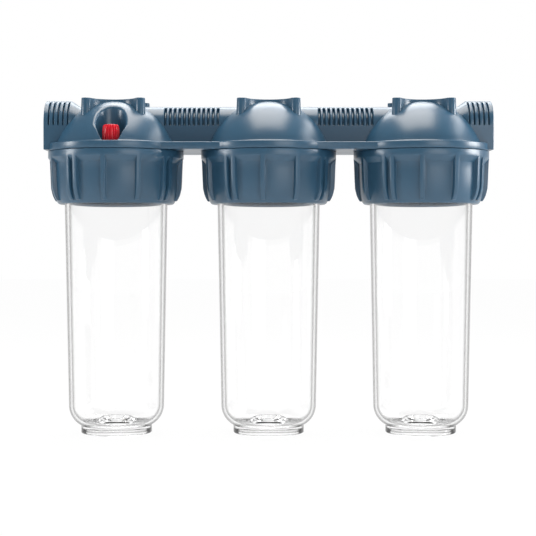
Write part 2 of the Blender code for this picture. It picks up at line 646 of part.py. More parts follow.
def build_spigot_seal(side, material):
    start, end, floor = plug_groove()
    radius = floor + PIECE_GAP + PLUG_SEAL_CORD / 2
    shape = rotated(seal_shape(radius, PLUG_SEAL_CORD, MEDIUM_STEPS), 90, "Y")
    place = (housing_x(side) + (start + end) / 2, 0, DUCT_AXIS)
    placed(f"spigot_seal_{side}", shape, material, place)


def build_bowl(side, material):
    placed(f"bowl_{side}", bowl_shape(), material, (housing_x(side), 0, 0))


def build_bowl_seal(side, material):
    height = COLLAR_TOP + PIECE_GAP + BOWL_SEAL_CORD / 2 - PIECE_GAP / 2
    shape = seal_shape(BOWL_SEAL_RADIUS, BOWL_SEAL_CORD - PIECE_GAP, LARGE_STEPS)
    placed(f"bowl_seal_{side}", shape, material, (housing_x(side), 0, height))


def build_ring_nut(side, material):
    nut = placed(f"ring_nut_{side}", nut_body_shape(), material, (housing_x(side), 0, NUT_BOTTOM))
    combine(nut, "UNION", "ribs", gathered([rib_shape(degrees) for degrees in rib_angles()]))


def build_port_insert(name, direction, material):
    """Threaded metal insert, drawn without its thread: collar at the mouth, plain body behind."""
    body = INSERT_BORE + INSERT_WALL
    collar = body + INSERT_COLLAR_REACH
    profile = [(INSERT_BORE, 0), (collar, 0), (collar, INSERT_COLLAR_DEPTH), (body, INSERT_COLLAR_DEPTH)]
    profile += [(body, INSERT_LENGTH), (INSERT_BORE, INSERT_LENGTH)]
    shape = rotated(turned(profile, MEDIUM_STEPS), -90 * direction, "Y")
    placed(name, shape, material, (direction * (PORT_END - PIECE_GAP), 0, DUCT_AXIS))


def knob_outline(radius, height):
    """Outline of the fluted knob: a point on each crest and one in each flute."""
    points = []
    for corner in range(2 * KNOB_FLUTES):
        reach = radius - KNOB_FLUTE_DEPTH * (corner % 2)
        angle = math.pi * corner / KNOB_FLUTES
        points.append((reach * math.cos(angle), reach * math.sin(angle), height))
    return points


def build_vent_screw(material):
    """Fluted knob on a stem that goes down through the pocket's floor."""
    sections = [knob_outline(KNOB_RADIUS, PIECE_GAP), knob_outline(KNOB_RADIUS, KNOB_HEIGHT - KNOB_EDGE)]
    sections.append(knob_outline(KNOB_RADIUS - KNOB_EDGE, KNOB_HEIGHT))
    place = (housing_x("left"), -POCKET_OFFSET, POCKET_FLOOR)
    screw = placed("vent_screw", lofted(sections), material, place)
    tip = -POCKET_FLOOR_DEPTH - STEM_REACH
    stem = [(0, tip), (STEM_RADIUS, tip), (STEM_RADIUS, KNOB_HEIGHT / 2), (0, KNOB_HEIGHT / 2)]
    combine(screw, "UNION", "stem", turned(stem, SMALL_STEPS))


def build_vent_seal(material):
    radius = STEM_RADIUS + PIECE_GAP + VENT_SEAL_CORD / 2
    place = (housing_x("left"), -POCKET_OFFSET, POCKET_FLOOR - VENT_SEAL_CORD / 2)
    placed("vent_seal", seal_shape(radius, VENT_SEAL_CORD, SMALL_STEPS), material, place)


def build_housing():
    clear_scene()
    blue = finish("blue polypropylene", (0.055, 0.115, 0.19), 0.32)
    clear = finish("clear SAN", (0.97, 0.98, 0.98), 0.03, transmission=1.0, ior=1.57)
    rubber = finish("black EPDM", (0.012, 0.012, 0.013), 0.6)
    white = finish("white polypropylene", (0.78, 0.79, 0.78), 0.4)
    brass = finish("brass", (0.62, 0.44, 0.17), 0.35, metallic=1.0)
    red = finish("red acetal", (0.52, 0.012, 0.03), 0.35)
    build_manifold_head(blue)
    for side in HOUSINGS:
        build_cartridge_spigot(side, white)
        build_spigot_seal(side, rubber)
        build_bowl(side, clear)
        build_bowl_seal(side, rubber)
        build_ring_nut(side, blue)
    build_port_insert("port_insert_left", -1, brass)
    build_port_insert("port_insert_right", 1, brass)
    build_vent_screw(red)
    build_vent_seal(rubber)


build_housing()
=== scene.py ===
import math

import bmesh
import bpy
from mathutils import Matrix, Vector


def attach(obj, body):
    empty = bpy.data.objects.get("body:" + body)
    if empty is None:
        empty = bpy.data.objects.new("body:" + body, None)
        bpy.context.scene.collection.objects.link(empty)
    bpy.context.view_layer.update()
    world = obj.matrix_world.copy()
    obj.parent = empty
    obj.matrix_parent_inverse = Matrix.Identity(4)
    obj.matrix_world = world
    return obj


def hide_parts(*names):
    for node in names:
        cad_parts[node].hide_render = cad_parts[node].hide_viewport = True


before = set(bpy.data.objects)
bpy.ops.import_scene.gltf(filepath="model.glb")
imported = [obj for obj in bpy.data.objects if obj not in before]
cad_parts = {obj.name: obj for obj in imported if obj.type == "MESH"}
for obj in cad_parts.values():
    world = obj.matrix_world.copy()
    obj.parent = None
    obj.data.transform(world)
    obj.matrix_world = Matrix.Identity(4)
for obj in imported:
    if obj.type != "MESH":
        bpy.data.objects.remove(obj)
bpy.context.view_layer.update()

# Flange plate of the head. It is the level plate that the three domes, the ducts and the ports stand on, and
# that the ring nuts close against. The real one is injection moulded with them in blue-grey polypropylene.
MM = 0.001
HOUSING_X = {"left": -144.6, "middle": 0.0, "right": 144.6}
FLANGE_RADIUS = 63.9
FLANGE_BOTTOM = 266.2
FLANGE_TOP = 273.0
WEB_HALF_WIDTH = 45.2
PLATE_HOLE = 54.0


def begin(name, add, **size):
    """Deselects everything, adds a primitive at its place and opens it in edit mode, selected all over."""
    bpy.ops.object.select_all(action="DESELECT")
    add(**size)
    bpy.context.object.name = name
    bpy.ops.object.transform_apply(location=True, rotation=True, scale=True)
    bpy.ops.object.mode_set(mode="EDIT")
    bpy.ops.mesh.select_all(action="SELECT")


def pick(kind, passes):
    """In edit mode, selects the vertices, edges or faces whose middle passes the test, and nothing else."""
    bpy.ops.mesh.select_mode(type=kind)
    bpy.ops.mesh.select_all(action="DESELECT")
    mesh = bmesh.from_edit_mesh(bpy.context.object.data)
    for part in {"VERT": mesh.verts, "EDGE": mesh.edges, "FACE": mesh.faces}[kind]:
        corners = [part] if kind == "VERT" else part.verts
        middle = sum((corner.co for corner in corners), Vector()) / len(corners)
        part.select_set(passes(middle / MM))
    mesh.select_flush_mode()
    bmesh.update_edit_mesh(bpy.context.object.data)


def apply(piece, kind, **settings):
    """Adds a modifier with its settings and applies it."""
    modifier = piece.modifiers.new(kind.title(), kind)
    for name, value in settings.items():
        setattr(modifier, name, value)
    bpy.context.view_layer.objects.active = piece
    bpy.ops.object.modifier_apply(modifier=modifier.name)


def end(edge=0.0, segments=3, sharp=35):
    """Leaves edit mode with the mesh merged and facing outwards. Rounds the sharp edges and shades the rest
    smooth."""
    bpy.ops.mesh.select_mode(type="VERT")
    bpy.ops.mesh.select_all(action="SELECT")
    bpy.ops.mesh.remove_doubles(threshold=0.002 * MM)
    bpy.ops.mesh.normals_make_consistent(inside=False)
    bpy.ops.object.mode_set(mode="OBJECT")
    piece = bpy.context.object
    if edge:
        angle = math.radians(sharp)
        apply(piece, "BEVEL", width=edge * MM, segments=segments, limit_method="ANGLE", angle_limit=angle)
    bpy.ops.object.shade_smooth_by_angle(angle=math.radians(sharp))
    return piece


def arc(centre, radius, start, stop, steps):
    """Points on a circle from angle start to angle stop, in degrees, both ends included."""
    angles = [math.radians(start + (stop - start) * step / steps) for step in range(steps + 1)]
    return [(centre[0] + radius * math.cos(angle), centre[1] + radius * math.sin(angle)) for angle in angles]


def linear(code):
    """An sRGB hex colour as linear RGBA."""
    channels = [int(code[place : place + 2], 16) / 255 for place in (0, 2, 4)]
    curve = [value / 12.92 if value <= 0.04045 else ((value + 0.055) / 1.055) ** 2.4 for value in channels]
    return (*curve, 1.0)


def add_node(tree, kind, inputs=None, links=None, **settings):
    """A node with its settings, its input values and what its inputs are linked to."""
    node = tree.nodes.new(kind)
    for name, value in settings.items():
        setattr(node, name, value)
    for name, value in (inputs or {}).items():
        node.inputs[name].default_value = value
    for name, output in (links or {}).items():
        tree.links.new(output, node.inputs[name])
    return node


def new_material(name):
    """A material with its node tree and its shader."""
    material = bpy.data.materials.new(name)
    material.use_nodes = True
    return material, material.node_tree, material.node_tree.nodes["Principled BSDF"]


def colour_between(tree, first, second, share):
    """A colour between two, where share goes from 0 to 1."""
    return add_node(tree, "ShaderNodeMix", {6: first, 7: second}, {0: share}, data_type="RGBA").outputs[2]


def number_between(tree, low, high, share):
    """A number between two, where share goes from 0 to 1."""
    limits = {"To Min": low, "To Max": high}
    return add_node(tree, "ShaderNodeMapRange", limits, {"Value": share}).outputs["Result"]


def bump(tree, strength, height_mm, pattern):
    """A normal that a pattern tilts, as if it stood out by this height."""
    sizes = {"Strength": strength, "Distance": height_mm * MM}
    return add_node(tree, "ShaderNodeBump", sizes, {"Height": pattern}).outputs["Normal"]


def moulded_polypropylene(name, base, shade, roughness, grain_height):
    """Polypropylene from a spark-eroded mould: a satin skin with a fine even grain, and faint clouds where
    the melt flowed."""
    material, tree, shader = new_material(name)
    shader.inputs["IOR"].default_value = 1.56
    coords = add_node(tree, "ShaderNodeTexCoord").outputs["Object"]
    # Clouds about 45 mm across
    clouds = add_node(tree, "ShaderNodeTexNoise", {"Scale": 22.0, "Detail": 3.0}, {"Vector": coords})
    # Spark grain, drawn 0.7 mm across so that it shows
    grain = add_node(tree, "ShaderNodeTexNoise", {"Scale": 1400.0, "Detail": 2.0}, {"Vector": coords})
    colour = colour_between(tree, linear(base), linear(shade), clouds.outputs["Fac"])
    gloss = number_between(tree, roughness - 0.05, roughness + 0.05, clouds.outputs["Fac"])
    tree.links.new(colour, shader.inputs["Base Color"])
    tree.links.new(gloss, shader.inputs["Roughness"])
    tree.links.new(bump(tree, 0.25, grain_height, grain.outputs["Fac"]), shader.inputs["Normal"])
    return material


def dress(piece, material, body, slot, *nodes):
    """Gives a piece its material and the body it rides on, and hides the CAD nodes that it stands for. The
    slot argument is not used.
    """
    piece.data.materials.clear()
    piece.data.materials.append(material)
    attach(piece, body)
    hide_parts(*nodes)


blue_plastic = moulded_polypropylene("satin moulded polypropylene, blue-grey", "30536B", "294C65", 0.3, 0.02)

plate_foot = (0, 0, FLANGE_BOTTOM * MM)
flange_size = FLANGE_RADIUS * MM
begin("flange_plate", bpy.ops.mesh.primitive_circle_add, vertices=96, radius=flange_size, location=plate_foot)
bpy.ops.mesh.duplicate_move(TRANSFORM_OT_translate={"value": (HOUSING_X["left"] * MM, 0, 0)})
pick("VERT", lambda place: place.x > -70)
bpy.ops.mesh.duplicate_move(TRANSFORM_OT_translate={"value": (HOUSING_X["right"] * MM, 0, 0)})


def faces_a_web(place):
    """Whether a point of the outline lies on an arc that a web covers."""
    near = min(HOUSING_X.values(), key=lambda x: abs(place.x - x))
    inner = (near < 0 and place.x > near) or (near > 0 and place.x < near) or near == 0
    return inner and abs(place.y) < WEB_HALF_WIDTH - 0.1


pick("VERT", faces_a_web)
bpy.ops.mesh.delete(type="VERT")
for middle_x in (HOUSING_X["left"] / 2, HOUSING_X["right"] / 2):
    for side in (-1, 1):
        pick("VERT", lambda place: abs(place.x - middle_x) < 28 and abs(place.y - side * WEB_HALF_WIDTH) < 1)
        bpy.ops.mesh.edge_face_add()
for x in HOUSING_X.values():
    hole_place = (x * MM, 0, FLANGE_BOTTOM * MM)
    bpy.ops.mesh.primitive_circle_add(vertices=96, radius=PLATE_HOLE * MM, location=hole_place)
bpy.ops.mesh.select_all(action="SELECT")
bpy.ops.mesh.fill(use_beauty=True)
bpy.ops.mesh.select_all(action="SELECT")
bpy.ops.mesh.extrude_region_move(TRANSFORM_OT_translate={"value": (0, 0, (FLANGE_TOP - FLANGE_BOTTOM) * MM)})
plate = end(edge=0.8)
dress(plate, blue_plastic, "head", "blue_plastic", "manifold_head")

# Domes of the head. Each is the top of one housing's chamber, moulded with the plate, and below the plate it
# goes on as the skirt that the bowl's neck slides into. The left one has a hole at its front for the vent.
DOME_RADIUS = 60.86
DOME_CENTRE = 253.34
DOME_WALL = 4.8
DOME_FOOT_FILLET = 2.2
SKIRT_RADIUS = 54.8
SKIRT_BORE = 49.5
POCKET_Y = -45.0
POCKET_HALF_WIDTH = 13.5
POCKET_BACK_REACH = 16.5
POCKET_FLOOR = 273.4
RIM_BACK, RIM_SIDE, RIM_FRONT = 4.2, 2.4, 0.35
DUCT_AXIS = 290.9
WATER_BORE = 11.0
PLUG_BORE = 13.0


def turned(name, profile, steps=96, x=0.0, y=0.0):
    """A turned shape about an upright line, left in edit mode. A ring is extruded from each point of the
    profile, (radius, height) in mm, to the next. A profile that starts on the axis is closed there."""
    points = profile[1:] if profile[0][0] == 0 else profile
    radius, height = points[0]
    foot = (x * MM, y * MM, height * MM)
    begin(name, bpy.ops.mesh.primitive_circle_add, vertices=steps, radius=radius * MM, location=foot)
    for (last_radius, last_height), (radius, height) in zip(points, points[1:]):
        bpy.ops.mesh.extrude_edges_move(TRANSFORM_OT_translate={"value": (0, 0, (height - last_height) * MM)})
        scale = radius / last_radius
        bpy.ops.transform.resize(value=(scale, scale, 1), center_override=(x * MM, y * MM, height * MM))
    if profile[0][0] == 0:
        radius, height = points[0]

        def on_first_ring(place):
            reach = math.hypot(place.x - x, place.y - y)
            return abs(place.z - height) < 0.01 and abs(reach - radius) < 0.01

        pick("VERT", on_first_ring)
        end_height = profile[0][1]
        bpy.ops.mesh.extrude_edges_move(TRANSFORM_OT_translate={"value": (0, 0, (end_height - height) * MM)})
        bpy.ops.transform.resize(value=(0, 0, 1), center_override=(x * MM, y * MM, end_height * MM))


def cut(piece, operation="DIFFERENCE"):
    """Applies the shape just ended to a piece as a Boolean, and removes it."""
    tool = bpy.context.object
    apply(piece, "BOOLEAN", operation=operation, object=tool)
    bpy.data.objects.remove(tool)


def select_only(piece):
    """Selects a piece and nothing else, and makes it the active one."""
    bpy.ops.object.select_all(action="DESELECT")
    piece.select_set(True)
    bpy.context.view_layer.objects.active = piece


def smoothed(piece):
    """Shades a cut piece smooth again, up to its sharp edges."""
    select_only(piece)
    bpy.ops.object.shade_smooth_by_angle(angle=math.radians(35))
    return piece


def copied(piece, name, x):
    """A copy of a finished piece with its own mesh, moved along X by x mm."""
    select_only(piece)
    bpy.ops.object.duplicate(linked=False)
    bpy.ops.transform.translate(value=(x * MM, 0, 0))
    bpy.ops.object.transform_apply(location=True, rotation=True, scale=True)
    bpy.context.object.name = name
    return bpy.context.object


inner_radius = DOME_RADIUS - DOME_WALL
spring = math.degrees(math.acos(SKIRT_BORE / inner_radius))
fillet_reach = DOME_RADIUS + DOME_FOOT_FILLET
fillet_rise = FLANGE_TOP + DOME_FOOT_FILLET - DOME_CENTRE
fillet_centre = (math.sqrt(fillet_reach**2 - fillet_rise**2), FLANGE_TOP + DOME_FOOT_FILLET)
foot_angle = math.degrees(math.asin(fillet_rise / fillet_reach))
dome_profile = arc((0, DOME_CENTRE), inner_radius, 90, spring, 18)
dome_profile[0] = (0, DOME_CENTRE + inner_radius)
dome_profile += [(SKIRT_BORE, 231.3), (52.7, 231.3), (52.7, 228.3), (SKIRT_RADIUS, 228.3)]
dome_profile += [(SKIRT_RADIUS, 267.0), (57.6, 267.6), (57.6, 271.5), (fillet_centre[0], 272.6)]
dome_profile += arc(fillet_centre, DOME_FOOT_FILLET, -90, foot_angle - 180, 5)
dome_profile += arc((0, DOME_CENTRE), DOME_RADIUS, foot_angle, 90, 26)[1:-1]
dome_profile += [(0, DOME_CENTRE + DOME_RADIUS)]
turned("dome_middle", dome_profile, 120)
dome_middle = end()
dome_left = copied(dome_middle, "dome_left", HOUSING_X["left"])
dome_right = copied(dome_middle, "dome_right", HOUSING_X["right"])


def water_way(piece, x, start, stop, radius):
    """Bores a level hole along X, from start to stop, both measured from the housing at x."""
    place = {"location": ((x + (start + stop) / 2) * MM, 0, DUCT_AXIS * MM), "rotation": (0, math.pi / 2, 0)}
    size = {"vertices": 48, "radius": radius * MM, "depth": abs(stop - start) * MM}
    begin("bore", bpy.ops.mesh.primitive_cylinder_add, **size, **place)
    end()
    cut(piece)


for dome, x in ((dome_left, HOUSING_X["left"]), (dome_middle, 0.0), (dome_right, HOUSING_X["right"])):
    water_way(dome, x, -66, -30, WATER_BORE)
    water_way(dome, x, 30, 66, PLUG_BORE)


def pocket_wall(turn):
    """A point of the pocket's wall in plan, and the direction out of it. The back half reaches further than
    the front."""
    depth = POCKET_BACK_REACH if math.sin(turn) > 0 else POCKET_HALF_WIDTH
    outwards = Vector((math.cos(turn) / POCKET_HALF_WIDTH, math.sin(turn) / depth, 0)).normalized()
    return Vector((POCKET_HALF_WIDTH * math.cos(turn), POCKET_Y + depth * math.sin(turn), 0)), outwards


def pocket_rim(turn, share):
    """A point of the pocket's rounded rim. Share goes from 0, on the wall, to 1, on the dome's skin."""
    back, front = max(math.sin(turn), 0), min(max(-math.sin(turn) / 0.55, 0), 1)
    rounding = RIM_FRONT + (RIM_SIDE - RIM_FRONT) * (1 - front) ** 1.5
    rounding += (RIM_BACK - RIM_SIDE) * back**2
    wall, outwards = pocket_wall(turn)
    middle = wall + rounding * outwards
    middle.z = math.sqrt(max((DOME_RADIUS - rounding) ** 2 - middle.x**2 - middle.y**2, 0.01))
    point = middle + rounding * (-outwards).slerp(middle.normalized(), share)
    point.z += DOME_CENTRE
    return point


RIM_POINTS = 96
rim_turns = [math.pi / 2 + math.tau * number / RIM_POINTS for number in range(RIM_POINTS)]
begin("pocket_cutter", bpy.ops.mesh.primitive_circle_add, vertices=RIM_POINTS, radius=POCKET_HALF_WIDTH * MM)
for vert, turn in zip(bmesh.from_edit_mesh(bpy.context.object.data).verts, rim_turns):
    edge = pocket_rim(turn, 1.0)
    vert.co = Vector((HOUSING_X["left"] + edge.x, edge.y, POCKET_FLOOR - 0.4)) * MM
bpy.ops.mesh.edge_face_add()
bpy.ops.mesh.extrude_region_move(TRANSFORM_OT_translate={"value": (0, 0, 50 * MM)})
end()
cut(dome_left)
for dome in (dome_left, dome_middle, dome_right):
    dress(smoothed(dome), blue_plastic, "head", "blue_plastic", "manifold_head")

# Vent pocket. A round well moulded into the front of the left dome, with a rounded rim, a flat floor and a
# small hole for the vent screw's stem. It is open to the front, where the dome is lower than the floor.
STEM_HOLE = 3.3
STEM_WELL = 5.5
WELL_DEPTH = 1.9
POCKET_UNDERSIDE = 268.0


def on_circle(turn, radius, height):
    """A point at this angle and height on a circle round the vent screw's axis."""
    return Vector((radius * math.cos(turn), POCKET_Y + radius * math.sin(turn), height))


def on_wall(turn, inset, height):
    """A point inside the pocket's wall, no higher than the wall is there."""
    wall, outwards = pocket_wall(turn)
    top = max(pocket_rim(turn, 0.0).z, POCKET_FLOOR - 0.3)
    return wall - inset * outwards + Vector((0, 0, min(height, top)))


def on_rim(turn, share, sink=0.0):
    """A point of the rim, no lower than the floor where the dome is lower than it."""
    point = pocket_rim(turn, share)
    return Vector((point.x, point.y, max(point.z - sink, POCKET_FLOOR - 0.3)))


def skin(name, rings):
    """A skin through closed rings of points in mm, extruded from ring to ring and left in edit mode."""
    begin(name, bpy.ops.mesh.primitive_circle_add, vertices=len(rings[0]))
    for number, ring in enumerate(rings):
        if number:
            bpy.ops.mesh.extrude_edges_move()
        mesh = bmesh.from_edit_mesh(bpy.context.object.data)
        mesh.verts.ensure_lookup_table()
        for vert, point in zip(mesh.verts[-len(ring) :], ring):
            vert.co = Vector(point) * MM
        bmesh.update_edit_mesh(bpy.context.object.data)


well_floor = POCKET_FLOOR - WELL_DEPTH
pocket_rings = []
for radius, heights in ((STEM_HOLE, (POCKET_UNDERSIDE, well_floor)), (STEM_WELL, (well_floor, POCKET_FLOOR))):
    pocket_rings += [[on_circle(turn, radius, height) for turn in rim_turns] for height in heights]
for inset, rise in ((2.0, 0.0), (0.7, 0.15), (0.15, 0.7), (0.0, 2.0)):
    pocket_rings.append([on_wall(turn, inset, POCKET_FLOOR + rise) for turn in rim_turns])
for step in range(9):
    pocket_rings.append([on_rim(turn, step / 8) for turn in rim_turns])
pocket_rings.append([on_rim(turn, 1.0, 1.5) for turn in rim_turns])
pocket_rings.append([on_circle(turn, POCKET_HALF_WIDTH, POCKET_UNDERSIDE) for turn in rim_turns])
pocket_rings.append([on_circle(turn, STEM_HOLE, POCKET_UNDERSIDE) for turn in rim_turns])
vent_housing = Vector((HOUSING_X["left"], 0, 0))
skin("vent_pocket", [[point + vent_housing for point in ring] for ring in pocket_rings])
vent_pocket = end()
dress(vent_pocket, blue_plastic, "head", "blue_plastic", "manifold_head")

# Screw towers. On each dome four bosses take the wall bracket's screws, and hollowed walls join them into
# one block. They are moulded with the dome in the same plastic, and the screws cut their own thread.
POST_OFFSET = 25.0
POST_RADIUS = 4.6
WALL_INSET = 11.3
TOWER_TOP = 314.9
TOWER_ROOT = 293.0
DOME_CORE = 58.5
hollow = POST_OFFSET - WALL_INSET
wall_radius = (POST_OFFSET**2 + hollow**2 - POST_RADIUS**2) / (2 * (POST_RADIUS + hollow))
tangent = math.degrees(math.atan2(WALL_INSET + wall_radius - POST_OFFSET, POST_OFFSET))
corner = arc((POST_OFFSET, -POST_OFFSET), POST_RADIUS, 180 + tangent, 450 - tangent, 16)
corner += arc((WALL_INSET + wall_radius, 0), wall_radius, 270 - tangent, 90 + tangent, 14)[1:-1]
quarters = [Matrix.Rotation(math.radians(90 * quarter), 2) for quarter in range(4)]
outline = [quarter @ Vector(point) for quarter in quarters for point in corner]


def trimmed_to_dome(piece, x):
    """Ends a piece inside the wall of the dome at x."""
    core = [(0, 240)] + arc((0, DOME_CENTRE), DOME_CORE, 0, 90, 24)[:-1] + [(0, DOME_CENTRE + DOME_CORE)]
    turned("dome_core", core, 64, x)
    end()
    cut(piece)


tower_place = (0, 0, TOWER_TOP * MM)
begin("tower_middle", bpy.ops.mesh.primitive_circle_add, vertices=len(outline), location=tower_place)
for vert, (x, y) in zip(bmesh.from_edit_mesh(bpy.context.object.data).verts, outline):
    vert.co.x, vert.co.y = x * MM, y * MM
bpy.ops.mesh.extrude_edges_move(TRANSFORM_OT_translate={"value": (0, 0, (TOWER_ROOT - TOWER_TOP) * MM)})
bpy.ops.transform.resize(value=(1.02, 1.02, 1), center_override=(0, 0, TOWER_ROOT * MM))
bpy.ops.mesh.edge_face_add()
pick("VERT", lambda place: place.z > TOWER_TOP - 1)
bpy.ops.mesh.edge_face_add()
tower_middle = end(edge=0.5, segments=2)
pilot_profile = [(0, 300.9), (1.8, 300.9), (1.8, 314.1), (2.6, 314.95), (2.6, 316), (0, 316)]
for x in (-POST_OFFSET, POST_OFFSET):
    for y in (-POST_OFFSET, POST_OFFSET):
        turned("pilot", pilot_profile, 24, x, y)
        end()
        cut(tower_middle)
trimmed_to_dome(tower_middle, 0.0)
towers = [smoothed(tower_middle)]
towers += [copied(tower_middle, "tower_" + side, HOUSING_X[side]) for side in ("left", "right")]
for tower in towers:
    dress(tower, blue_plastic, "head", "blue_plastic", "manifold_head")

# Ducts and ports. The ducts lead the water from one housing to the next, and the ports are the inlet and the
# outlet. Fins stand across their round tops. They are moulded with the head, in the same plastic.
DUCT_RADIUS = 17.8
DUCT_FOOT = 270.0
PORT_RADIUS = 23.2
PORT_END = 210.0
PORT_LENGTH = 23.9
CONE_LENGTH = 7.9
PORT_FOOT = 267.0
PORT_ROUNDING = 0.35
PIPE_ROOT = 26.0
SLOT_PITCH = 4.49
DUCT_SLOTS = 12
DUCT_SLOT_WIDTH = 2.3
DUCT_SLOT_DEPTH = 3.7
DUCT_LIP = 0.6
PORT_SLOTS = 5
PORT_FIRST_SLOT = 4.65
PORT_SLOT_WIDTH = 1.5
PORT_SLOT_DEPTH = 3.4
PORT_LIP = 0.4
SLOT_FOOT = 0.7
SLOT_TAPER = 0.3
SLOT_TOP_DEGREES = 72


def pipe_ring(x, radius, foot, dip=0.0, sink=0.0):
    """A pipe's section: half round on top, with straight sides down to its foot. The point at a slot's top
    end is lower by dip, and where the slots are the section is smaller by sink."""
    top_end = math.radians(SLOT_TOP_DEGREES) - dip / radius
    turns = [math.radians(4.5 * step) for step in range(14)] + [top_end]
    turns += [math.radians(degrees) for degrees in (76.5, 81, 85.5, 90)]
    front = [(x, -radius, foot)]
    front += [(x, -radius, height) for height in (DUCT_AXIS - SLOT_FOOT - 0.3, DUCT_AXIS - SLOT_FOOT)]
    for turn in turns:
        reach = radius - sink if turn <= top_end else radius
        front.append((x, -reach * math.cos(turn), DUCT_AXIS + reach * math.sin(turn)))
    return front + [(x, -y, z) for x, y, z in front[-2::-1]]


def lofted(name, rings):
    """A skin through closed rings with its first and last rings filled."""
    skin(name, rings)
    bpy.ops.mesh.edge_face_add()
    bpy.ops.mesh.select_non_manifold()
    bpy.ops.mesh.edge_face_add()


def sink_slots(centres, width, depth, radius):
    """Sinks a tapering slot into the front and the back of the pipe in edit mode, at each of these places
    along X."""

    def in_a_slot(place):
        turn = math.degrees(math.atan2(place.z - DUCT_AXIS, abs(place.y)))
        across = any(abs(place.x - centre) < width / 2 for centre in centres)
        return across and -5 < turn < SLOT_TOP_DEGREES - 4

    pick("FACE", in_a_slot)
    bpy.ops.mesh.extrude_region_move()
    scale = (radius - depth) / radius
    bpy.ops.transform.resize(value=(1, scale, scale), center_override=(0, 0, DUCT_AXIS * MM))
    mesh = bmesh.from_edit_mesh(bpy.context.object.data)
    for vert in [vert for vert in mesh.verts if vert.select]:
        centre = min(centres, key=lambda x: abs(x - vert.co.x / MM)) * MM
        vert.co.x = centre + (vert.co.x - centre) * SLOT_TAPER
    bmesh.update_edit_mesh(bpy.context.object.data)


def slot_places(centres, width, rounding):
    """Where the sections across each slot and its rounded lips stand along X, with the dip that gives the
    slot a half-round top end and how far the section sinks."""
    half = width / 2
    across = []
    for degrees in (-90, -60, -30, 0, 30, 60, 90):
        offset = half * math.sin(math.radians(degrees))
        across.append((offset, half - math.sqrt(half**2 - offset**2), rounding))
    for degrees in (30, 60, 90):
        lip = rounding * (1 - math.cos(math.radians(degrees)))
        sink = rounding * (1 - math.sin(math.radians(degrees)))
        across += [(-half - lip, half, sink), (half + lip, half, sink)]
    return sorted((centre + offset, dip, sink) for centre in centres for offset, dip, sink in across)


middle_slot = (DUCT_SLOTS - 1) / 2
duct_centres = [HOUSING_X["right"] / 2 + (number - middle_slot) * SLOT_PITCH for number in range(DUCT_SLOTS)]
duct_places = [(PIPE_ROOT, 0, 0)] + slot_places(duct_centres, DUCT_SLOT_WIDTH, DUCT_LIP)
duct_places += [(HOUSING_X["right"] - PIPE_ROOT, 0, 0)]
lofted("duct_right", [pipe_ring(x, DUCT_RADIUS, DUCT_FOOT, dip, sink) for x, dip, sink in duct_places])
sink_slots(duct_centres, DUCT_SLOT_WIDTH, DUCT_SLOT_DEPTH, DUCT_RADIUS)
duct_right = end()
trimmed_to_dome(duct_right, 0.0)
trimmed_to_dome(duct_right, HOUSING_X["right"])
water_way(duct_right, 0, 30, 60, PLUG_BORE)
water_way(duct_right, 0, 40, 120, WATER_BORE)

port_centres = [PORT_END - PORT_FIRST_SLOT - number * SLOT_PITCH for number in range(PORT_SLOTS)]
barrel_places = slot_places(port_centres, PORT_SLOT_WIDTH, PORT_LIP)[::-1]
barrel_places = [(PORT_END - PORT_ROUNDING, 0, 0)] + barrel_places + [(PORT_END - PORT_LENGTH, 0, 0)]
port_rings = []
for inset in (0, 0.2):
    smaller = PORT_ROUNDING - inset
    port_rings.append(pipe_ring(PORT_END - inset, PORT_RADIUS - smaller, PORT_FOOT + smaller))
port_rings += [pipe_ring(x, PORT_RADIUS, PORT_FOOT, dip, sink) for x, dip, sink in barrel_places]
cone_foot = PORT_END - PORT_LENGTH - CONE_LENGTH
port_rings += [pipe_ring(x, DUCT_RADIUS, PORT_FOOT) for x in (cone_foot, HOUSING_X["right"] + PIPE_ROOT)]
lofted("port_right", port_rings)
sink_slots(port_centres, PORT_SLOT_WIDTH, PORT_SLOT_DEPTH, PORT_RADIUS)
port_right = end()
trimmed_to_dome(port_right, HOUSING_X["right"])


def laid_along_x():
    """Turns the shape in edit mode from upright to level: what was at height z now points to +X, on the
    ducts' axis."""
    bpy.ops.mesh.select_all(action="SELECT")
    mesh = bmesh.from_edit_mesh(bpy.context.object.data)
    for vert in mesh.verts:
        x, y, z = vert.co
        vert.co = (z, y, DUCT_AXIS * MM - x)
    bmesh.update_edit_mesh(bpy.context.object.data)


socket = [(0, 150), (WATER_BORE, 150), (WATER_BORE, PORT_END - 14.1), (16.9, PORT_END - 14.1)]
socket += [(16.9, PORT_END - 2.8), (18.7, PORT_END - 2.8), (18.7, PORT_END + 2), (0, PORT_END + 2)]
turned("insert_socket", socket, 64)
laid_along_x()
end()
cut(port_right)


def mirrored(piece, name):
    """A copy of a finished piece on the other side of the middle housing, facing outwards."""
    other = copied(piece, name, 0.0)
    bpy.ops.object.mode_set(mode="EDIT")
    bpy.ops.mesh.select_all(action="SELECT")
    bpy.ops.transform.mirror(constraint_axis=(True, False, False), center_override=(0, 0, 0))
    bpy.ops.mesh.normals_make_consistent(inside=False)
    bpy.ops.object.mode_set(mode="OBJECT")
    return other


duct_left = copied(duct_right, "duct_left", -HOUSING_X["right"])
port_left = mirrored(port_right, "port_left")
for pipe in (duct_left, duct_right, port_left, port_right):
    dress(smoothed(pipe), blue_plastic, "head", "blue_plastic", "manifold_head")

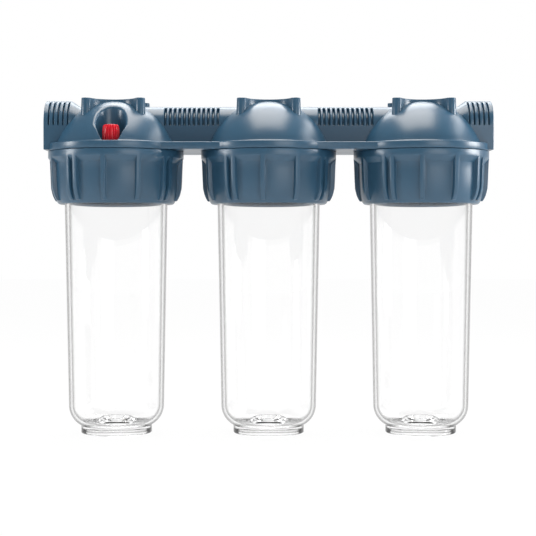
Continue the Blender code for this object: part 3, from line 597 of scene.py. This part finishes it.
# Pipe inserts. A threaded brass bush in each port takes the pipe fitting. It is turned from bar, and the head
# is moulded round it.
def turned_brass(name):
    """Brass turned on a lathe: a warm bright metal with fine rings round its axis and a little tarnish."""
    material, tree, shader = new_material(name)
    shader.inputs["Metallic"].default_value = 1.0
    coords = add_node(tree, "ShaderNodeTexCoord").outputs["Object"]
    centred = add_node(tree, "ShaderNodeMapping", {"Location": (0, 0, -DUCT_AXIS * MM)}, {"Vector": coords})
    # Tool rings, drawn 1 mm apart
    waves, place = {"Scale": 320.0, "Distortion": 0.4}, {"Vector": centred.outputs["Vector"]}
    rings = add_node(tree, "ShaderNodeTexWave", waves, place, wave_type="RINGS", rings_direction="X")
    # Tarnish in patches about 6 mm across
    tarnish = add_node(tree, "ShaderNodeTexNoise", {"Scale": 160.0, "Detail": 4.0}, {"Vector": coords})
    colour = colour_between(tree, linear("D8B566"), linear("B08A42"), tarnish.outputs["Fac"])
    tree.links.new(colour, shader.inputs["Base Color"])
    tree.links.new(number_between(tree, 0.2, 0.4, tarnish.outputs["Fac"]), shader.inputs["Roughness"])
    tree.links.new(bump(tree, 0.3, 0.02, rings.outputs["Fac"]), shader.inputs["Normal"])
    return material


INSERT_BORE = 12.1
THREAD_PITCH = 1.814
THREAD_DEPTH = 1.1
THREAD_LENGTH = 12.5
insert_face = PORT_END - 0.3
insert_profile = [(INSERT_BORE + 1.2, insert_face)]
depth = 1.0
while depth < THREAD_LENGTH:
    insert_profile.append((INSERT_BORE, insert_face - depth))
    insert_profile.append((INSERT_BORE + THREAD_DEPTH, insert_face - depth - THREAD_PITCH / 2))
    depth += THREAD_PITCH
insert_profile += [(INSERT_BORE, insert_face - 13.5), (16.6, insert_face - 13.5), (16.6, insert_face - 2.2)]
insert_profile += [(18.4, insert_face - 2.2), (18.4, insert_face), (INSERT_BORE + 1.2, insert_face)]
turned("pipe_insert_right", insert_profile, 72)
laid_along_x()
insert_right = end(edge=0.2, segments=2)
insert_left = mirrored(insert_right, "pipe_insert_left")
brass = turned_brass("turned brass")
dress(insert_right, brass, "head", "insert_brass", "port_insert_right")
dress(insert_left, brass, "head", "insert_brass", "port_insert_left")

# Cartridge elbows. Each seals on top of its cartridge and leads the filtered water into the next duct
# through a plug with an O-ring. They are moulded in white polypropylene and pushed into the plug's bore.
SPIGOT_SEAT = 264.2
SPIGOT_BORE = 8.8
white_plastic = moulded_polypropylene("natural moulded polypropylene, white", "E4E6E3", "D6D9D6", 0.38, 0.02)
stem = [(0, 300.0), (SPIGOT_BORE, 300.0), (SPIGOT_BORE, 257.2), (11.8, 257.2), (13.0, 266.2), (18.0, 266.2)]
stem += [(19.5, SPIGOT_SEAT), (21.0, 266.2), (21.0, 269.8), (13.0, 269.8), (13.0, 300.3), (10.0, 303.3)]
turned("cartridge_elbow_middle", stem + [(0, 303.3)], 72)
elbow = end(edge=0.4, segments=2)
plug = [(0, 2.0), (12.6, 2.0), (12.6, 42.4), (10.4, 42.4), (10.4, 45.0), (12.6, 45.0), (12.6, 48.2)]
turned("elbow_plug", plug + [(11.8, 49.0), (0, 49.0)], 72)
laid_along_x()
end()
cut(elbow, "UNION")
turned("elbow_upright_bore", [(0, 250), (SPIGOT_BORE, 250), (SPIGOT_BORE, DUCT_AXIS), (0, DUCT_AXIS)], 72)
end()
cut(elbow)
turned("elbow_level_bore", [(0, 0), (SPIGOT_BORE, 0), (SPIGOT_BORE, 60), (0, 60)], 72)
laid_along_x()
end()
cut(elbow)
elbows = {"middle": elbow}
for side in ("left", "right"):
    elbows[side] = copied(elbow, "cartridge_elbow_" + side, HOUSING_X[side])
for side, piece in elbows.items():
    dress(smoothed(piece), white_plastic, "head", "white_plastic", "cartridge_spigot_" + side)

# Vent screw. Turned a little, it lets the air out of the left housing. Its fluted knob and stem are moulded
# in one piece of red acetal.
KNOB_RADIUS = 8.0
FLUTES = 18


def knob_ring(radius, height, depth):
    """A fluted ring: round crests with hollows of this depth between them."""
    points = []
    for number in range(FLUTES * 8):
        turn = math.tau * number / (FLUTES * 8)
        hollow = depth * min(max(0.5 - 0.8 * math.cos(FLUTES * turn), 0), 1)
        reach = radius - hollow
        points.append((HOUSING_X["left"] + reach * math.cos(turn), POCKET_Y + reach * math.sin(turn), height))
    return points


knob_sizes = [(2.9, 266.6, 0), (2.9, 273.7, 0), (7.6, 273.7, 0.8), (KNOB_RADIUS, 274.1, 1.1)]
knob_sizes += [(KNOB_RADIUS, 282.0, 1.1), (7.8, 284.6, 1.1), (7.4, 286.5, 1.0), (6.9, 287.6, 0.9)]
knob_sizes += [(6.3, 288.2, 0.5), (5.6, 288.3, 0), (5.2, 287.8, 0), (2.0, 287.5, 0)]
lofted("vent_knob_fluted", [knob_ring(*size) for size in knob_sizes])
knob = end(sharp=50)


def moulded_acetal(name):
    """Acetal from a polished mould: an even, slightly waxy red with small soft highlights."""
    material, tree, shader = new_material(name)
    shader.inputs["IOR"].default_value = 1.48
    coords = add_node(tree, "ShaderNodeTexCoord").outputs["Object"]
    # Clouds about 4 mm across
    clouds = add_node(tree, "ShaderNodeTexNoise", {"Scale": 250.0, "Detail": 2.0}, {"Vector": coords})
    colour = colour_between(tree, linear("D4192D"), linear("C21226"), clouds.outputs["Fac"])
    tree.links.new(colour, shader.inputs["Base Color"])
    tree.links.new(number_between(tree, 0.24, 0.34, clouds.outputs["Fac"]), shader.inputs["Roughness"])
    return material


dress(knob, moulded_acetal("moulded acetal, red"), "vent_knob", "red_plastic", "vent_screw")

# Seals. O-rings in black EPDM rubber, squeezed between their faces: round each bowl's neck, on each elbow's
# plug and round the vent screw's stem.
def moulded_rubber(name):
    """EPDM from a polished mould: deep black and matt, with a faint bloom in patches."""
    material, tree, shader = new_material(name)
    coords = add_node(tree, "ShaderNodeTexCoord").outputs["Object"]
    # Bloom in patches about 3 mm across
    bloom = add_node(tree, "ShaderNodeTexNoise", {"Scale": 330.0, "Detail": 3.0}, {"Vector": coords})
    colour = colour_between(tree, linear("151516"), linear("242527"), bloom.outputs["Fac"])
    tree.links.new(colour, shader.inputs["Base Color"])
    tree.links.new(number_between(tree, 0.5, 0.65, bloom.outputs["Fac"]), shader.inputs["Roughness"])
    return material


rubber = moulded_rubber("moulded EPDM rubber, black")


def seal_ring(name, radius, cord, height, steps, x=0.0, y=0.0):
    """An O-ring lying level, its section drawn as a circle and turned."""
    turned(name, arc((radius, height), cord / 2, 0, 360, 12), steps, x, y)


seal_ring("bowl_o_ring_middle", 50.9, 2.7, 229.8, 96)
bowl_rings = {"middle": end(sharp=60)}
seal_ring("plug_o_ring_middle", 11.4, 2.0, 43.7, 64)
laid_along_x()
plug_rings = {"middle": end(sharp=60)}
for side in ("left", "right"):
    bowl_rings[side] = copied(bowl_rings["middle"], "bowl_o_ring_" + side, HOUSING_X[side])
    plug_rings[side] = copied(plug_rings["middle"], "plug_o_ring_" + side, HOUSING_X[side])
for side in HOUSING_X:
    dress(bowl_rings[side], rubber, side + "_bowl", "seal_rubber", "bowl_seal_" + side)
    dress(plug_rings[side], rubber, "head", "seal_rubber", "spigot_seal_" + side)
seal_ring("vent_o_ring", 4.1, 1.6, 272.6, 48, HOUSING_X["left"], POCKET_Y)
dress(end(sharp=60), rubber, "vent_lifter", "seal_rubber", "vent_seal")

# Clear bowls. Each holds a cartridge between the ring on its floor and the head. They are injection moulded
# in clear styrene-acrylonitrile, drafted so that they leave the mould, with a collar that the nut lifts.
BOWL_STEPS = 144
BOWL_CORNER = (24, 26.3)
CORNER_OUTSIDE = 21
CORNER_INSIDE = 17.8


def moulded_san(name):
    """Styrene-acrylonitrile from a polished mould: water clear, with painted shade that greys its colour
    where the wall is seen edge on.
    """
    material, tree, shader = new_material(name)
    shader.inputs["Transmission Weight"].default_value = 1.0
    shader.inputs["IOR"].default_value = 1.5
    shader.inputs["Roughness"].default_value = 0.0
    coords = add_node(tree, "ShaderNodeTexCoord").outputs["Object"]
    # Flow ripple about 30 mm across
    ripple = add_node(tree, "ShaderNodeTexNoise", {"Scale": 33.0, "Detail": 1.0}, {"Vector": coords})
    # Painted shade: where the wall is seen edge on, the colour turns grey, so that the bowl's edges read dark
    facing = add_node(tree, "ShaderNodeLayerWeight", {"Blend": 0.5})
    limits = {"From Min": 0.6, "From Max": 0.78}
    edge = add_node(tree, "ShaderNodeMapRange", limits, {"Value": facing.outputs["Facing"]})
    edge.interpolation_type = "SMOOTHSTEP"
    colour = colour_between(tree, (1, 1, 1, 1), linear("565656"), edge.outputs["Result"])
    tree.links.new(colour, shader.inputs["Base Color"])
    tree.links.new(bump(tree, 0.15, 0.1, ripple.outputs["Fac"]), shader.inputs["Normal"])
    return material


bowl_profile = [(0, 5.3), (29.8, 5.3), (29.8, 0), (32.6, 0), (33.5, 0.9)]
bowl_profile += arc(BOWL_CORNER, CORNER_OUTSIDE, -63.1, 0, 14)
bowl_profile += [(48.6, 222.0), (53.0, 222.0), (53.0, 228.0), (49.1, 228.0), (49.1, 248.0), (45.4, 248.0)]
bowl_profile += arc(BOWL_CORNER, CORNER_INSIDE, 0, -90, 18)
bowl_profile += [(21.2, 8.5), (15.0, 14.2), (13.0, 14.2), (13.0, 8.5), (0, 8.5)]
turned("clear_bowl_middle", bowl_profile, BOWL_STEPS)
clear_bowls = {"middle": end(edge=0.45, segments=2, sharp=28)}
san = moulded_san("moulded styrene-acrylonitrile, clear")
for side in ("left", "right"):
    clear_bowls[side] = copied(clear_bowls["middle"], "clear_bowl_" + side, HOUSING_X[side])
for side, piece in clear_bowls.items():
    dress(piece, san, side + "_bowl", "clear_plastic", "bowl_" + side)

# Ring nuts. Each screws onto its skirt and lifts the bowl by its collar. They are moulded in the head's
# plastic, with grip ribs for a strap wrench: two single ones and then a close pair, four times round.
NUT_STEPS = 180
NUT_BORE = 55.6
RIB_FOOT = 218.4
RIB_TOP = 259.0
FIRST_RIB_DEGREES = -5
RIB_SPACING_DEGREES = 30
RIB_PAIR_DEGREES = 4
nut_outside = [(53.2, 216.4), (54.2, 216.9), (54.8, 217.5), (55.4, 218.4), (55.9, 219.4), (56.6, 221.0)]
nut_outside += [(57.1, 222.7), (57.6, 225.0), (58.0, 227.6), (58.4, 231.5), (58.9, 238.6), (59.1, 247.0)]
nut_outside += [(59.4, 254.4), (63.9, 259.7), (63.9, 265.8)]
nut_inside = [(NUT_BORE, 265.8), (NUT_BORE, 226.5), (53.8, 224.7), (53.8, 221.7), (49.1, 221.7)]
nut_inside += [(49.1, 218.6), (52.4, 216.5), (53.2, 216.4)]
# How far out the ribs stand at each height of the nut's profile
rib_radii = {218.4: 56.9, 219.4: 57.9, 221.0: 59.0, 222.7: 59.9, 225.0: 60.9, 227.6: 61.6, 231.5: 62.5}
rib_radii.update({238.6: 62.9, 247.0: 63.2, 254.4: 63.5, 259.7: 63.9})
rib_places = []
for number in range(12):
    place = FIRST_RIB_DEGREES + RIB_SPACING_DEGREES * number
    pair = [place - RIB_PAIR_DEGREES, place + RIB_PAIR_DEGREES]
    rib_places += pair if number % 3 == 2 else [place]


def on_a_rib(place):
    """Whether a face of the nut lies under a rib, on its outside. Places are turns from the front, to +X."""
    turn = math.degrees(math.atan2(place.x, -place.y))
    near = any(abs((turn - rib + 180) % 360 - 180) < 2 for rib in rib_places)
    outside = math.hypot(place.x, place.y) > NUT_BORE + 0.05
    return near and outside and RIB_FOOT < place.z < RIB_TOP


turned("grip_nut_middle", nut_outside + nut_inside, NUT_STEPS)
bpy.ops.mesh.select_all(action="SELECT")
bpy.ops.mesh.remove_doubles(threshold=0.002 * MM)
bpy.ops.transform.rotate(value=math.radians(-1), orient_axis="Z", center_override=(0, 0, 0))
pick("FACE", on_a_rib)
bpy.ops.mesh.extrude_region_move()
mesh = bmesh.from_edit_mesh(bpy.context.object.data)
for vert in mesh.verts:
    if vert.select:
        height = min(rib_radii, key=lambda level: abs(level - vert.co.z / MM))
        scale = rib_radii[height] * MM / math.hypot(vert.co.x, vert.co.y)
        vert.co.x, vert.co.y = vert.co.x * scale, vert.co.y * scale
bmesh.update_edit_mesh(bpy.context.object.data)
grip_nuts = {"middle": end(edge=0.3, segments=2, sharp=30)}
for side in ("left", "right"):
    grip_nuts[side] = copied(grip_nuts["middle"], "grip_nut_" + side, HOUSING_X[side])
for side, piece in grip_nuts.items():
    dress(piece, blue_plastic, side + "_nut", "blue_plastic", "ring_nut_" + side)

# Studio. A pale floor under the bowls and a white surround. A broad warm softbox hangs overhead with a
# smaller one behind it. One stands low on each side, a long one is high on the right, and one is in front.
def ray_is(tree, *kinds):
    """1 for a ray of one of these kinds, as the light path names them, and 0 for any other."""
    path = add_node(tree, "ShaderNodeLightPath")
    found = path.outputs[kinds[0]]
    for kind in kinds[1:]:
        either = {0: found, 1: path.outputs[kind]}
        found = add_node(tree, "ShaderNodeMath", None, either, operation="MAXIMUM").outputs[0]
    return found


begin("studio_floor", bpy.ops.mesh.primitive_plane_add, size=12, location=(0, 0, -0.4 * MM))
floor = end()
paper = bpy.data.materials.new("white paper sweep")
paper.use_nodes = True
tree = paper.node_tree
tree.nodes.remove(tree.nodes["Principled BSDF"])
# Seen by the camera, in a mirror or through the bowls it glows white, but for a share that keeps the shadow
seen = ray_is(tree, "Is Camera Ray", "Is Glossy Ray", "Is Transmission Ray")
mixed = add_node(tree, "ShaderNodeMath", {1: 0.98}, {0: seen}, operation="MULTIPLY")
matt = add_node(tree, "ShaderNodeBsdfDiffuse", {"Color": linear("F2F2F2")})
glow = add_node(tree, "ShaderNodeEmission", {"Color": (1, 1, 1, 1), "Strength": 1.0})
layers = {0: mixed.outputs[0], 1: matt.outputs[0], 2: glow.outputs[0]}
blend = add_node(tree, "ShaderNodeMixShader", None, layers)
tree.links.new(blend.outputs[0], tree.nodes["Material Output"].inputs["Surface"])
floor.data.materials.append(paper)

world = bpy.data.worlds.new("white surround")
bpy.context.scene.world = world
world.use_nodes = True
tree = world.node_tree
# White to the camera and through the bowls, and dimmer as a light on the object
lit = number_between(tree, 0.37, 1.0, ray_is(tree, "Is Camera Ray", "Is Transmission Ray"))
# Reflections see the white sweep behind the object and the dimmer room round its sides and front
facing = add_node(tree, "ShaderNodeTexCoord").outputs["Generated"]
direction = add_node(tree, "ShaderNodeSeparateXYZ", None, {"Vector": facing})
limits = {"From Min": 0.5, "From Max": 0.95, "To Min": 0.22, "To Max": 1.0}
sweep = add_node(tree, "ShaderNodeMapRange", limits, {"Value": direction.outputs["Y"]})
# A ray that passes through smooth plastic counts as glossy too, and it sees the white
kinds = {0: ray_is(tree, "Is Glossy Ray"), 1: ray_is(tree, "Is Transmission Ray")}
reflected = add_node(tree, "ShaderNodeMath", None, kinds, operation="SUBTRACT", use_clamp=True)
levels = {0: reflected.outputs[0], 2: lit, 3: sweep.outputs["Result"]}
strength = add_node(tree, "ShaderNodeMix", None, levels)
tree.nodes["Background"].inputs["Color"].default_value = (1, 1, 1, 1)
tree.links.new(strength.outputs[0], tree.nodes["Background"].inputs["Strength"])


def softbox(name, place, aim, width, height, power, colour=(1, 1, 1)):
    """An area lamp that faces the point it aims at. Lengths are in metres and its power is in watts."""
    lamp = bpy.data.lights.new(name, "AREA")
    lamp.shape, lamp.color = "RECTANGLE", colour
    lamp.size, lamp.size_y, lamp.energy = width, height, power
    holder = bpy.data.objects.new(name, lamp)
    holder.location = place
    holder.rotation_euler = (Vector(aim) - Vector(place)).to_track_quat("-Z", "Y").to_euler()
    bpy.context.scene.collection.objects.link(holder)


softbox("softbox_top", (0, 0.0, 1.55), (0, 0, 0.3), 1.0, 1.1, 24, (1, 0.93, 0.86))
softbox("softbox_top_back", (0, 0.85, 1.3), (0, 0, 0.3), 0.9, 0.6, 10)
softbox("softbox_left", (-1.3, -0.27, 0.5), (0, 0, 0.5), 0.3, 0.45, 6)
softbox("softbox_right", (1.3, 0.02, 0.5), (0, 0, 0.5), 0.5, 0.45, 12)
softbox("softbox_high_right", (1.05, 0.38, 1.21), (0, 0, 0.28), 1.2, 0.3, 5)
softbox("softbox_front", (0.95, -1.95, 0.6), (0, 0, 0.25), 1.2, 0.8, 9)

# Camera. It looks straight at the front from 1.33 m, tilted down by less than a degree. The photograph is
# 536 pixels wide, and at that width its focal length is 1400 pixels.
PHOTO_PIXELS = 536
FOCAL_PIXELS = 1400
DOWN_DEGREES = 0.94
camera = bpy.data.objects.new("camera", bpy.data.cameras.new("camera"))
camera.data.sensor_width = 36.0
camera.data.lens = FOCAL_PIXELS / PHOTO_PIXELS * camera.data.sensor_width
camera.location = (-0.0006, -1.33, 0.178)
camera.rotation_euler = (math.radians(90 - DOWN_DEGREES), 0, 0)
bpy.context.scene.collection.objects.link(camera)
bpy.context.scene.camera = camera
bpy.context.scene.view_settings.view_transform = "Standard"
